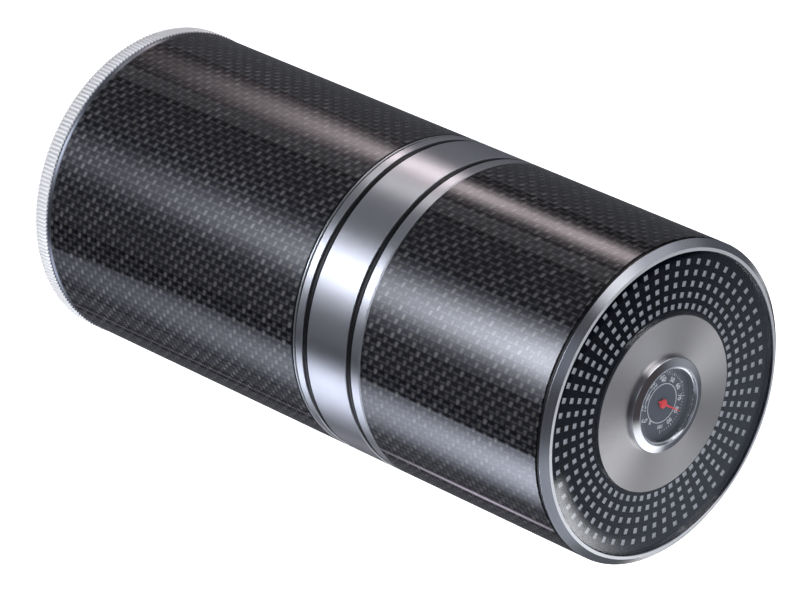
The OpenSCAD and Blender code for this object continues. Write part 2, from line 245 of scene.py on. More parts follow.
@material("carbon_weave")
def _(t, b):
    th, r, z = t.polar()
    u = t.math("MULTIPLY", th, float(TOW_N))
    on_lid = t.math("GREATER_THAN", z, 125.0)
    v = t.math("DIVIDE", z, t.mixf(on_lid, *TOW_Z))
    i = t.math("FLOOR", u)
    j = t.math("FLOOR", v)
    fu = t.math("SUBTRACT", t.math("FRACT", u), 0.5)
    fv = t.math("SUBTRACT", t.math("FRACT", v), 0.5)
    pi = math.pi
    # position along a hoop tow from the middle of its own crossing, in tows
    half = t.math("MULTIPLY", t.math("SUBTRACT", t.math("SUBTRACT", u, 0.5), j), 0.5)
    fu2 = t.math("MULTIPLY", t.math("SUBTRACT", half, t.math("ROUND", half)), 2.0)
    # each tow rises over one neighbour and dives under the next
    ch = t.math("COSINE", t.math("ADD", t.math("MULTIPLY", t.math("SUBTRACT", u, 0.5), pi), t.math("MULTIPLY", j, pi)))
    ca = t.math("COSINE", t.math("ADD", t.math("MULTIPLY", t.math("SUBTRACT", v, 0.5), pi), t.math("MULTIPLY", i, pi)))
    wh = t.math("COSINE", t.math("MULTIPLY", fv, pi))
    wa = t.math("COSINE", t.math("MULTIPLY", fu, pi))
    hh = t.math("ADD", t.math("MULTIPLY", ch, 0.5), t.math("MULTIPLY", wh, 0.55))
    ha = t.math("ADD", t.math("MULTIPLY", ca, -0.5), t.math("MULTIPLY", wa, 0.45))
    top_h = t.mapr(t.math("SUBTRACT", hh, ha), -0.06, 0.06, smooth=True)
    height = t.math("SMOOTH_MAX", hh, ha, 0.15)
    # filaments: fine streaks along each tow
    fil_h = t.noise(t.combine(t.math("MULTIPLY", th, 160.0), t.math("MULTIPLY", z, 9.0), 0.0), 1.0, 3.0, 0.6)
    fil_a = t.noise(t.combine(t.math("MULTIPLY", th, 2900.0), t.math("MULTIPLY", z, 0.35), 4.0), 1.0, 3.0, 0.6)
    # every tow has its own shade, and so has every crossing
    n = t.node("ShaderNodeTexWhiteNoise", noise_dimensions="2D")
    t.link(t.combine(i, j, 0.0), n.inputs["Vector"])
    cell = n.outputs["Value"]
    big = t.noise(t.combine(t.math("MULTIPLY", th, 9.0), t.math("MULTIPLY", z, 0.03), 1.0), 1.0, 2.0, 0.5)
    # the part of a hoop tow that lies on top shows as a short pale dash, a little skewed: the fibres' sheen on the
    # crest is painted into the colour here, and the metallic reflection adds real sheen on top of it
    skew = t.math("MULTIPLY_ADD", fu2, 0.22, fv)
    dash = t.math("MULTIPLY", t.mapr(ch, -0.15, 0.8, smooth=True),
                  t.math("POWER", t.math("MAXIMUM", t.math("COSINE", t.math("MULTIPLY", skew, pi)), 0.0), 2.0))
    crest_sheen_paint = t.math("MULTIPLY", dash, t.mixf(cell, 0.35, 1.15))
    crest_sheen_paint = t.math("MULTIPLY", crest_sheen_paint, t.mapr(fil_h, 0.3, 0.72, 0.35, 1.45))
    crest_sheen_paint = t.math("MULTIPLY", crest_sheen_paint, t.mapr(big, 0.3, 0.7, 0.7, 1.2))
    # and a painted glint on the shoulder of the next axial tow, where it would catch a little of the light, joins the
    # dashes into a zigzag
    slope = t.math("SINE", t.math("MULTIPLY", fu, 2.0 * pi))
    side = t.math("MULTIPLY", t.mapr(slope, 0.1, 0.9, smooth=True), t.mapr(ca, 0.55, -0.55, smooth=True))
    shoulder_glint_paint = t.math("MULTIPLY", t.math("MULTIPLY", side, t.math("SUBTRACT", 1.0, top_h)), t.mapr(fil_a, 0.35, 0.7, 0.3, 1.0))
    col = t.mix(t.math("MINIMUM", crest_sheen_paint, 1.0), (0.0058, 0.0058, 0.0078), (0.150, 0.146, 0.149))
    col = t.mix(t.math("MULTIPLY", shoulder_glint_paint, 0.85), col, (0.080, 0.080, 0.094))
    t.link(col, b.inputs["Base Color"])
    rough = t.mixf(top_h, 0.42, 0.5)
    t.link(rough, b.inputs["Roughness"])
    setp(b, metal=0.65, spec=0.12, coat=1.0, coat_rough=0.015, coat_ior=1.5)
    fil = t.mixf(top_h, fil_a, fil_h)
    hgt = t.math("ADD", t.math("MULTIPLY", height, 0.10), t.math("MULTIPLY", fil, 0.03))
    t.link(t.bump(hgt, 0.6, 0.0010), b.inputs["Normal"])


def turned(name, color, rough, lines=55.0, depth=0.00004, strength=0.35, aniso=0.5, axis="z", metal=1.0, vary=0.06,
           tint=0.06, groove_shade=None, sheen_lobes=None):
    """metal with fine turning lines round the tube's axis; axis "z" on a wall, "r" on a face; the groove setting paints
    shade into the metal between two radii, darkest at the inner one, and the lobes setting paints the sheen of the
    turning onto a face in four soft sectors, lighter and darker"""
    @material(name)
    def _(t, b):
        th, r, z = t.polar()
        s = z if axis == "z" else r if axis == "r" else t.math("ADD", z, r)
        fine = t.noise(t.combine(t.math("MULTIPLY", s, lines), t.math("MULTIPLY", th, 6.0), 0.0), 1.0, 4.0, 0.75)
        coarse = t.noise(t.combine(t.math("MULTIPLY", s, lines * 0.22), t.math("MULTIPLY", th, 2.0), 3.0), 1.0, 2.0, 0.5)
        cloud = t.noise(t.coord(), 55.0, 3.0, 0.6)
        h = t.math("ADD", t.math("MULTIPLY", fine, 0.7), t.math("MULTIPLY", coarse, 0.3))
        c = t.mix(t.mapr(h, 0.3, 0.7), tuple(x * (1 - tint) for x in color), tuple(min(1, x * (1 + tint)) for x in color))
        c = t.mix(t.mapr(cloud, 0.35, 0.7, 0.0, 0.5), c, tuple(x * 0.93 for x in color))
        if groove_shade:
            # painted shade: the metal darkens towards the inner radius, as at the bottom of a groove
            c = t.mix(t.mapr(r, groove_shade[0], groove_shade[1], smooth=True), tuple(x * groove_shade[2] for x in color), c)
        if sheen_lobes:
            # painted sheen: four soft sectors of the face are made lighter and darker, as the turning's bow-tie sheen
            # would be
            w = t.math("COSINE", t.math("MULTIPLY_ADD", th, 8.0 * math.pi, math.radians(sheen_lobes[0])))
            c = t.mix(t.mapr(w, -1.0, 1.0), tuple(x * sheen_lobes[1] for x in color), c)
        t.link(c, b.inputs["Base Color"])
        ro = t.mapr(t.math("ADD", t.math("MULTIPLY", h, 0.6), t.math("MULTIPLY", cloud, 0.4)), 0.3, 0.7, rough - vary, rough + vary)
        t.link(ro, b.inputs["Roughness"])
        setp(b, metal=metal, aniso=aniso, rot=0.25)
        tangent(t, b)
        t.link(t.bump(h, strength, depth), b.inputs["Normal"])


turned("alu_ring", (0.86, 0.87, 0.89), 0.365, lines=40.0, strength=0.12, aniso=0.85, vary=0.04)
turned("alu_band", (0.86, 0.87, 0.895), 0.375, lines=34.0, strength=0.2, aniso=0.85, vary=0.05)
# the knurl's grooves get painted shade, darker towards their bottoms
turned("alu_knurl", (0.90, 0.905, 0.92), 0.36, lines=30.0, strength=0.2, aniso=0.0, axis="zr", metal=0.38, groove_shade=(51.85, 52.2, 0.74))
turned("alu_land", (0.80, 0.81, 0.83), 0.34, lines=30.0, strength=0.1, aniso=0.3, axis="zr", metal=0.65)
turned("alu_bezel", (0.67, 0.69, 0.72), 0.22, lines=30.0, strength=0.1, aniso=0.3, axis="zr")
# the centre disc gets painted sheen in four soft sectors
turned("steel_disc", (0.745, 0.72, 0.70), 0.32, lines=28.0, strength=0.3, aniso=0.6, axis="r", tint=0.1, vary=0.06, sheen_lobes=(132.0, 0.62))
# dark grey: painted shade for the cap's shoulder
turned("shoulder_shade", (0.26, 0.27, 0.30), 0.36, lines=30.0, strength=0.12, aniso=0.5, vary=0.04)
turned("alu_inside", (0.72, 0.73, 0.75), 0.38, lines=20.0, strength=0.4, aniso=0.6, axis="zr")
turned("dot_silver", (0.80, 0.81, 0.83), 0.5, lines=12.0, strength=0.3, aniso=0.0, axis="r")
turned("chrome_bezel", (0.86, 0.865, 0.88), 0.085, lines=18.0, strength=0.06, aniso=0.0, axis="zr", vary=0.03, tint=0.02)
turned("brass_part", (0.72, 0.55, 0.26), 0.3, lines=16.0, strength=0.3, aniso=0.2, axis="zr")
turned("screw_steel", (0.62, 0.62, 0.64), 0.3, lines=24.0, strength=0.3, aniso=0.2, axis="zr")
turned("copper_strip", (0.62, 0.38, 0.22), 0.32, lines=12.0, strength=0.3, aniso=0.2, axis="z")


@material("gloss_black")
def _(t, b):
    n = t.noise(t.coord(), 900.0, 3.0, 0.6)
    t.link(t.mix(t.mapr(n, 0.3, 0.7), (0.002, 0.002, 0.0025), (0.004, 0.004, 0.005)), b.inputs["Base Color"])
    t.link(t.mapr(n, 0.3, 0.7, 0.26, 0.36), b.inputs["Roughness"])
    setp(b, spec=0.25)
    t.link(t.bump(n, 0.1, 0.00002), b.inputs["Normal"])


@material("screen_black")
def _(t, b):
    n = t.noise(t.coord(), 700.0, 3.0, 0.6)
    t.link(t.mix(t.mapr(n, 0.3, 0.7), (0.0015, 0.0022, 0.0045), (0.0030, 0.0040, 0.0075)), b.inputs["Base Color"])
    t.link(t.mapr(n, 0.3, 0.7, 0.6, 0.8), b.inputs["Roughness"])
    setp(b, spec=0.0)
    t.link(t.bump(n, 0.08, 0.00002), b.inputs["Normal"])


@material("rubber_black")
def _(t, b):
    n = t.noise(t.coord(), 2600.0, 4.0, 0.65)
    c = t.noise(t.coord(), 120.0, 3.0, 0.6)
    t.link(t.mix(t.mapr(c, 0.3, 0.7), (0.012, 0.012, 0.012), (0.03, 0.029, 0.028)), b.inputs["Base Color"])
    t.link(t.mapr(n, 0.3, 0.7, 0.6, 0.85), b.inputs["Roughness"])
    setp(b, spec=0.35)
    t.link(t.bump(n, 0.35, 0.00006), b.inputs["Normal"])


@material("moulded_black")
def _(t, b):
    n = t.noise(t.coord(), 1500.0, 3.0, 0.6)
    c = t.noise(t.coord(), 90.0, 2.0, 0.6)
    t.link(t.mix(t.mapr(c, 0.3, 0.7), (0.018, 0.018, 0.02), (0.03, 0.03, 0.033)), b.inputs["Base Color"])
    t.link(t.mapr(n, 0.3, 0.7, 0.38, 0.55), b.inputs["Roughness"])
    t.link(t.bump(n, 0.25, 0.00005), b.inputs["Normal"])


def glass(name, ior, color, coat=0.0):
    @material(name)
    def _(t, b):
        n = t.noise(t.coord(), 60.0, 2.0, 0.5)
        t.link(t.mapr(n, 0.3, 0.7, 0.0, 0.012), b.inputs["Roughness"])
        setp(b, color=color, trans=1.0, ior=ior, coat=coat, coat_ior=1.3, coat_rough=0.02)


glass("cover_clear", 1.26, (0.985, 0.99, 1.0), coat=1.0)
glass("lens_clear", 1.36, (0.97, 0.985, 1.0))


@material("dial_face")
def _(t, b):
    th, r, z = t.polar()
    n = t.noise(t.coord(), 1800.0, 3.0, 0.6)
    rings = t.noise(t.combine(t.math("MULTIPLY", r, 9.0), 0.0, 0.0), 1.0, 2.0, 0.5)
    c = t.mix(t.mapr(r, 2.0, 11.5, smooth=True), (0.078, 0.088, 0.112), (0.096, 0.107, 0.132))
    c = t.mix(t.mapr(n, 0.35, 0.7, 0.0, 0.35), c, (0.060, 0.068, 0.086))
    t.link(c, b.inputs["Base Color"])
    t.link(t.mapr(rings, 0.3, 0.7, 0.3, 0.42), b.inputs["Roughness"])
    setp(b, metal=0.2)
    t.link(t.bump(n, 0.12, 0.00003), b.inputs["Normal"])


@material("dial_print")
def _(t, b):
    n = t.noise(t.coord(), 2600.0, 3.0, 0.6)
    t.link(t.mix(t.mapr(n, 0.35, 0.7), (0.80, 0.82, 0.85), (0.62, 0.64, 0.68)), b.inputs["Base Color"])
    t.link(t.mapr(n, 0.3, 0.7, 0.45, 0.6), b.inputs["Roughness"])


@material("pointer_red")
def _(t, b):
    n = t.noise(t.coord(), 1600.0, 3.0, 0.6)
    t.link(t.mix(t.mapr(n, 0.35, 0.7), (0.95, 0.035, 0.04), (0.80, 0.024, 0.028)), b.inputs["Base Color"])
    t.link(t.mapr(n, 0.3, 0.7, 0.2, 0.34), b.inputs["Roughness"])
    setp(b, coat=0.5, coat_rough=0.08)
    t.link(t.bump(n, 0.08, 0.00003), b.inputs["Normal"])


@material("slate_paint")
def _(t, b):
    n = t.noise(t.coord(), 1500.0, 3.0, 0.6)
    c = t.noise(t.coord(), 110.0, 2.0, 0.6)
    t.link(t.mix(t.mapr(c, 0.3, 0.7), (0.085, 0.093, 0.112), (0.115, 0.124, 0.146)), b.inputs["Base Color"])
    t.link(t.mapr(n, 0.3, 0.7, 0.36, 0.5), b.inputs["Roughness"])
    t.link(t.bump(n, 0.15, 0.00003), b.inputs["Normal"])


def cedar(name, face):
    """Spanish cedar: grain along the tube on a rolled liner, straight across a disc"""
    @material(name)
    def _(t, b):
        x, y, z = t.xyz()
        th, r, zz = t.polar()
        if face:
            along, across, deep = t.math("MULTIPLY", x, 1000.0), t.math("MULTIPLY", y, 1000.0), zz
        else:
            along, across, deep = zz, t.math("MULTIPLY", th, 290.0), t.math("MULTIPLY", r, 1.0)
        warp = t.noise(t.combine(t.math("MULTIPLY", along, 0.02), t.math("MULTIPLY", across, 0.05), deep), 1.0, 3.0, 0.5)
        lane = t.math("ADD", t.math("MULTIPLY", across, 0.22), t.math("MULTIPLY", warp, 2.6))
        ringv = t.math("SINE", t.math("MULTIPLY", lane, 2.4))
        fibre = t.noise(t.combine(t.math("MULTIPLY", along, 0.12), t.math("MULTIPLY", across, 4.5), deep), 1.0, 4.0, 0.7)
        pore = t.noise(t.combine(t.math("MULTIPLY", along, 0.45), t.math("MULTIPLY", across, 9.0), deep), 1.0, 2.0, 0.6)
        pores = t.mapr(pore, 0.62, 0.72, smooth=True)
        c = t.mix(t.mapr(ringv, -1.0, 1.0, smooth=True), (0.50, 0.255, 0.125), (0.36, 0.165, 0.075))
        c = t.mix(t.mapr(fibre, 0.3, 0.7, 0.0, 0.55), c, (0.60, 0.34, 0.18))
        c = t.mix(t.math("MULTIPLY", pores, 0.6), c, (0.17, 0.07, 0.03))
        t.link(c, b.inputs["Base Color"])
        t.link(t.mapr(fibre, 0.3, 0.7, 0.55, 0.75), b.inputs["Roughness"])
        setp(b, spec=0.3)
        h = t.math("SUBTRACT", t.math("MULTIPLY", fibre, 0.6), t.math("MULTIPLY", pores, 0.5))
        t.link(t.bump(h, 0.5, 0.00012), b.inputs["Normal"])


cedar("cedar_liner", False)
cedar("cedar_disc", True)


@material("foam_green")
def _(t, b):
    v = t.node("ShaderNodeTexVoronoi", feature="F1")
    t.link(t.coord(), v.inputs["Vector"])
    v.inputs["Scale"].default_value = 900.0
    pore = t.mapr(v.outputs["Distance"], 0.1, 0.6, smooth=True)
    n = t.noise(t.coord(), 180.0, 3.0, 0.6)
    c = t.mix(pore, (0.02, 0.055, 0.032), (0.11, 0.24, 0.15))
    c = t.mix(t.mapr(n, 0.35, 0.7, 0.0, 0.4), c, (0.06, 0.15, 0.09))
    t.link(c, b.inputs["Base Color"])
    setp(b, rough=0.85, spec=0.25, sheen=0.2)
    t.link(t.bump(pore, 0.8, 0.0004), b.inputs["Normal"])


# ------------------------------------------------------------------ meshes
def rounded(pts, rho, closed=True):
    """rounds each corner of a closed profile (r, z) in mm, with a support point either side of each round"""
    out = []
    n = len(pts)
    for k in range(n):
        p = Vector(pts[k][:2])
        c = pts[k][2] if len(pts[k]) > 2 else rho
        a, b = Vector(pts[k - 1][:2]), Vector(pts[(k + 1) % n][:2])
        if c <= 0:
            out.append(tuple(p))
            continue
        da, db = a - p, b - p
        la, lb = da.length, db.length
        da.normalize()
        db.normalize()
        ang = da.angle(db)
        if ang > math.radians(176):
            out.append(tuple(p))
            continue
        cut = min(c / math.tan(ang / 2), 0.42 * la, 0.42 * lb)
        rr = cut * math.tan(ang / 2)
        mid = (da + db).normalized()
        cen = p + mid * (rr / math.sin(ang / 2))
        p0, p1 = p + da * cut, p + db * cut
        if la > 3.2 * cut:
            out.append(tuple(p + da * cut * 1.35))
        a0 = math.atan2(p0.y - cen.y, p0.x - cen.x)
        a1 = math.atan2(p1.y - cen.y, p1.x - cen.x)
        d = (a1 - a0 + math.pi) % (2 * math.pi) - math.pi
        for s in range(5):
            w = a0 + d * s / 4
            out.append((cen.x + rr * math.cos(w), cen.y + rr * math.sin(w)))
        if lb > 3.2 * cut:
            out.append(tuple(p + db * cut * 1.35))
    return out


def finish_mesh(name, verts, faces, mat, body, replaces=(), smooth=True):
    me = bpy.data.meshes.new(name)
    me.from_pydata([Vector(v) * MM for v in verts], [], faces)
    bm = bmesh.new()
    bm.from_mesh(me)
    bmesh.ops.recalc_face_normals(bm, faces=bm.faces)
    bm.to_mesh(me)
    bm.free()
    if smooth:
        me.polygons.foreach_set("use_smooth", [True] * len(me.polygons))
    me.materials.append(MATS[mat])
    o = bpy.data.objects.new(name, me)
    bpy.context.scene.collection.objects.link(o)
    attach(o, body)
    if replaces:
        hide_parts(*replaces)
    return o


def lathe(name, pts, mat, body, replaces=(), seg=256, rho=0.12, warp=None, raw=False):
    """spins a closed profile of (r, z[, corner radius]) round Z; warp(r, z, k, seg) may change a radius"""
    prof = [tuple(p[:2]) for p in pts] if raw else rounded(pts, rho)
    verts, idx = [], []
    for (r, z) in prof:
        if r < 1e-5:
            verts.append((0, 0, z))
            idx.append([len(verts) - 1] * seg)
            continue
        row = []
        for k in range(seg):
            rr = warp(r, z, k, seg) if warp else r
            a = 2 * math.pi * k / seg
            verts.append((rr * math.cos(a), rr * math.sin(a), z))
            row.append(len(verts) - 1)
        idx.append(row)
    faces = []
    n = len(prof)
    for q in range(n):
        A, B = idx[q], idx[(q + 1) % n]
        if A[0] == A[1] and B[0] == B[1]:
            continue
        for k in range(seg):
            m = (k + 1) % seg
            if A[0] == A[1]:
                faces.append((A[0], B[m], B[k]))
            elif B[0] == B[1]:
                faces.append((A[k], A[m], B[0]))
            else:
                faces.append((A[k], A[m], B[m], B[k]))
    return finish_mesh(name, verts, faces, mat, body, replaces)


SK = R - 1.6     # inside of the lid's skins
NK = round(rad("neck_orings") + 0.0, 2)

# carbon tubes, with a small round at each cut edge
b0, b1 = low("body_tube"), top("body_tube")
lathe("body_carbon", [(R - 2.7, b0), (R, b0, 0.18), (R, b1, 0.18), (R - 2.7, b1)], "carbon_weave", "body", ("body_tube",))
l0, l1 = low("lid_tube"), top("lid_tube")
lathe("lid_carbon", [(SK, l0), (R, l0, 0.15), (R, l1, 0.18), (SK, l1)], "carbon_weave", "lid", ("lid_tube",))

# metal rings
z0, z1 = low("body_end_ring"), top("body_end_ring")
lathe("end_ring", [(R - 2.7, z0), (R, z0, 0.12), (R, z1, 0.12), (R - 2.7, z1)], "alu_ring", "body", ("body_end_ring",))
z0, z1 = low("lower_ring"), top("lower_ring")
lathe("lid_lower_ring", [(SK, z0), (R - 0.02, z0, 0.3), (R, z1, 0.22), (SK, z1)], "alu_ring", "lid", ("lower_ring",))
z0, z1 = low("mid_band"), top("mid_band")
lathe("lid_band", [(SK, z0), (R, z0, 0.22), (R, z1, 0.22), (SK, z1)], "alu_band", "lid", ("mid_band",))
z0, z1 = low("upper_ring"), top("upper_ring")
lathe("lid_upper_ring", [(SK, z0), (R, z0, 0.22), (R, z1 - 0.75, 0.3), (R - 0.2, z1, 0.05), (SK, z1)], "alu_ring", "lid", ("upper_ring",))


# black inlays with a rounded crown, seated a little under the metal
def inlay(name, node):
    a, b = low(node), top(node)
    ro = rad(node)
    w = b - a
    lathe(name, [(SK, a + 0.02), (ro - 0.35, a + 0.02, 0.02), (ro - 0.05, a + w * 0.22, 0.3), (ro, a + w * 0.5, 0.5),
                 (ro - 0.05, a + w * 0.78, 0.3), (ro - 0.35, b - 0.02, 0.02), (SK, b - 0.02)], "gloss_black", "lid", (node,))


inlay("inlay_low", "lower_inlay")
inlay("inlay_high", "upper_inlay")

# end bezel: cone, nearly flat bright land, small inner edge, skirt down to the plate
g1, zt = top("bezel_gasket"), top("bezel_ring")
zb = low("bezel_ring")
RR = round(rad("cover_glass"), 2)
bezel = lathe("end_bezel", [(RR + 0.02, zb), (SK, zb), (SK, g1), (R, g1, 0.02), (R, g1 + 0.08, 0.03), (RR + 1.17, zt - 0.12, 0.04),
                            (RR + 0.17, zt, 0.05), (RR + 0.02, zt - 0.15, 0.05)], "alu_bezel", "lid", ("bezel_ring",), rho=0.03)
bezel.data.materials.append(MATS["alu_land"])
for f in bezel.data.polygons:
    if f.center.z > (zt - 0.16) * MM and f.normal.z > 0.9:
        f.material_index = 1
# clear cover, held a hair off the print
DR = round(rad("centre_disc"), 2)
cg = low("cover_glass")
cover = lathe("clear_cover", [(DR + 0.05, cg + 0.04), (RR - 0.03, cg + 0.04), (RR - 0.03, GZ, 0.12), (DR + 0.05, GZ, 0.06)], "cover_clear", "lid",
      ("cover_glass",), rho=0.03)
cover.visible_shadow = False
dz = low("centre_disc")
lathe("brushed_disc", [(13.62, dz), (DR - 0.02, dz), (DR - 0.02, GZ, 0.14), (13.62, GZ, 0.1)], "steel_disc", "lid", ("centre_disc",), rho=0.03)

# gauge bezel: wall, bright cone, thin lip over the lens
GR = round(rad("gauge_bezel"), 2)
bt = top("gauge_bezel")
lathe("gauge_rim", [(12.72, GZ + 0.01), (GR - 0.12, GZ + 0.01, 0.05), (GR, GZ + 0.12, 0.05), (GR, GZ + 1.36, 0.1), (GR - 0.22, GZ + 1.56, 0.12),
                    (LENS_R + 0.42, bt, 0.14), (LENS_R + 0.03, bt, 0.1), (LENS_R + 0.03, bt - 1.3, 0.02), (11.72, bt - 1.3, 0.02),
                    (11.72, GZ + 0.6, 0.02), (12.72, GZ + 0.6, 0.02)], "chrome_bezel", "hygrometer", ("gauge_bezel",), rho=0.03)
lt, lb = top("gauge_lens"), low("gauge_lens")
window = lathe("gauge_window", [(0, lb), (LENS_R, lb, 0.03), (LENS_R, lt - 0.2, 0.03), (LENS_R - 1.05, lt, 0.12), (0, lt, 0)], "lens_clear", "hygrometer", ("gauge_lens",), rho=0)
window.visible_shadow = False

# knurled base cap: straight teeth with run-outs at both edges, and a plain tapered shoulder above them, which is
# coloured dark grey as painted shade along the joint with the tube
KN = 236
KC, KR = rad("base_cap"), 51.8
cb = low("base_cap")
ck = low("base_gasket")                 # top of the shoulder
ct = ck - 1.35                          # top of the teeth
hub = top("base_cap")


def knurl(r, z, k, seg):
    if r < 51.5 or z > ct + 0.02:
        return r
    s = (k * KN / seg) % 1.0
    # rounded trapezoid tooth: crest 0..0.42, groove bottom 0.62..0.8
    d = abs(s - 0.5) * 2.0
    w = min(1.0, max(0.0, (d - 0.30) / 0.42))
    w = w * w * (3 - 2 * w)
    return min(r, KR + (r - KR) * (1.0 - w))


base = lathe("knurled_base", [(1.5, cb + 0.5), (41.0, cb + 0.5), (41.0, cb), (51.9, cb), (52.2, cb + 0.06), (KC, cb + 0.14),
                              (KC, cb + 2.0), (KC, cb + 3.6), (KC, ct - 0.42), (KC - 0.04, ct - 0.34), (51.96, ct), (51.94, ct + 0.05),
                              (51.92, ct + 0.2), (51.72, ck - 0.2), (51.66, ck - 0.06), (51.5, ck), (50.2, ck),
                              (41.95, ck), (41.95, hub), (38.5, hub), (38.5, cb + 3.7), (1.5, cb + 3.7)], "alu_knurl", "base_cap_unit",
             ("base_cap",), seg=KN * 8, warp=knurl, raw=True)
# painted shade: the shoulder and the tops of the teeth get the dark grey finish
base.data.materials.append(MATS["shoulder_shade"])
for f in base.data.polygons:
    if f.center.z > (ct - 0.40) * MM:
        f.material_index = 1

# foam ring in the humidifier: crowned, with soft edges and a gently uneven top
fz0, fz1 = low("humidity_pad"), top("humidity_pad")
fr = rad("humidity_pad")


def foam_profile():
    pts = []
    for k in range(25):
        a = math.pi * k / 24
        pts.append((4.7 + (fr - 4.9) * (0.5 - 0.5 * math.cos(a)), fz1 - 1.6 + 1.5 * math.sin(a) ** 0.35))
    pts += [(fr - 0.1, fz1 - 2.6), (fr, fz1 - 5.0), (fr, fz0 + 3.0), (fr - 0.3, fz0 + 0.8), (fr - 1.2, fz0 + 0.05), (20.0, fz0), (6.0, fz0), (4.8, fz0 + 0.6), (4.6, fz0 + 3.0),
            (4.6, fz1 - 4.0)]
    return pts


def foam_warp(r, z, k, seg):
    a = 2 * math.pi * k / seg
    return r - 0.12 * (0.5 + 0.5 * math.sin(7 * a + z)) * (r > 10)


foam = lathe("foam_ring", foam_profile(), "foam_green", "base_cap_unit", ("humidity_pad",), seg=96, raw=True, warp=foam_warp)


# ------------------------------------------------------------------ dial
def flat_shape(name, verts, faces, mat, body, thick, replaces=()):
    """closed prism over flat faces given in mm, from z to z + thick"""
    bm = bmesh.new()
    vs = [bm.verts.new(v) for v in verts]
    fs = [bm.faces.new([vs[i] for i in f]) for f in faces]
    ext = bmesh.ops.extrude_face_region(bm, geom=fs)
    bmesh.ops.translate(bm, vec=(0, 0, thick), verts=[g for g in ext["geom"] if isinstance(g, bmesh.types.BMVert)])
    bmesh.ops.recalc_face_normals(bm, faces=bm.faces)
    me = bpy.data.meshes.new(name)
    bm.verts.ensure_lookup_table()
    for v in bm.verts:
        v.co *= MM
    bm.to_mesh(me)
    bm.free()
    me.materials.append(MATS[mat])
    o = bpy.data.objects.new(name, me)
    bpy.context.scene.collection.objects.link(o)
    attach(o, body)
    if replaces:
        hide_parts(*replaces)
    return o


def dial_dir(reading):
    """unit vector on the dial for a reading; the dial's top is -X and its right-hand side +Y"""
    a = math.radians(-150 + 3 * reading)
    return Vector((-math.cos(a), math.sin(a)))


def print_ring():
    verts, faces = [], []
    z = DIAL_Z + 0.005

    def ring(r0, r1, n=120, a0=0.0, a1=2 * math.pi, closed=True):
        base = len(verts)
        m = n if closed else n + 1
        for k in range(m):
            a = a0 + (a1 - a0) * k / n
            verts.append((r0 * math.cos(a), r0 * math.sin(a), z))
            verts.append((r1 * math.cos(a), r1 * math.sin(a), z))
        for k in range(n):
            q = base + 2 * k
            w = base + 2 * ((k + 1) % m)
            faces.append((q, q + 1, w + 1, w))

    def bar(d, r0, r1, w):
        s = Vector((-d.y, d.x)) * (w / 2)
        base = len(verts)
        for p in (d * r0 - s, d * r1 - s, d * r1 + s, d * r0 + s):
            verts.append((p.x, p.y, z))
        faces.append((base, base + 1, base + 2, base + 3))

    ring(6.16, 6.42)
    for k in range(0, 101, 2):
        d = dial_dir(k)
        if k % 10 == 0:
            bar(d, 9.0, 10.0, 0.24)
        else:
            bar(d, 9.1, 9.65, 0.14)
    a0, a1 = math.atan2(dial_dir(0).y, dial_dir(0).x), math.atan2(dial_dir(0).y, dial_dir(0).x) - math.radians(300)
    return verts, faces


v_, f_ = print_ring()
flat_shape("dial_scale", v_, f_, "dial_print", "hygrometer", 0.04, ("dial_marks",))


def numeral(txt, at, up, size, mat, body, name):
    """a number as a thin closed mesh lying on the dial, its top towards up"""
    cu = bpy.data.curves.new(name, "FONT")
    cu.body = txt
    cu.size = size
    cu.align_x, cu.align_y = "CENTER", "CENTER"
    cu.extrude = 0.02
    cu.offset = 0.05
    cu.resolution_u = 4
    o = bpy.data.objects.new(name, cu)
    bpy.context.scene.collection.objects.link(o)
    bpy.context.view_layer.update()
    me = bpy.data.meshes.new_from_object(o)
    bpy.data.objects.remove(o)
    right = Vector((up.y, -up.x, 0))
    upv = Vector((up.x, up.y, 0))
    m = Matrix((right, upv, Vector((0, 0, 1)))).transposed()
    for v in me.vertices:
        v.co = (m @ v.co + Vector((at[0], at[1], DIAL_Z + 0.025))) * MM
    me.materials.clear()
    me.materials.append(MATS[mat])
    n = bpy.data.objects.new(name, me)
    bpy.context.scene.collection.objects.link(n)
    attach(n, body)
    return n


for k in range(0, 101, 10):
    d = dial_dir(k)
    numeral(str(k), d * 7.7, d, 2.15 if k < 100 else 1.65, "dial_print", "hygrometer", f"dial_number_{k}")
numeral("%", Vector((6.9, -1.6)) * 1.0, Vector((-1, 0)), 1.7, "dial_print", "hygrometer", "dial_unit")

# pointer: thin tapered needle with a counterweight tail and a domed hub
pz = low("pointer") + 0.05


def pointer_mesh():
    d = Vector((0, 1))
    s = Vector((-1, 0))
    outline = [(-2.3, 0.15), (-2.1, 0.36), (-1.2, 0.4), (0, 0.4), (4.0, 0.24), (9.0, 0.1), (9.2, 0.0)]
    left = [d * a + s * w for a, w in outline]
    right = [d * a - s * w for a, w in reversed(outline[:-1])]
    pts = left + right
    verts = [(p.x, p.y, pz) for p in pts]
    return verts, [tuple(range(len(verts)))]


v_, f_ = pointer_mesh()
needle = flat_shape("needle_blade", v_, f_, "pointer_red", "needle", 0.22, ("pointer",))
lathe("needle_hub", [(0.42, pz - 0.05), (1.5, pz - 0.05, 0.08), (1.55, pz + 0.3, 0.15), (1.2, pz + 0.62, 0.3), (0.0, pz + 0.72, 0), (0, pz + 0.4, 0), (0.42, pz + 0.4, 0)],
      "pointer_red", "needle", seg=64, rho=0.02)

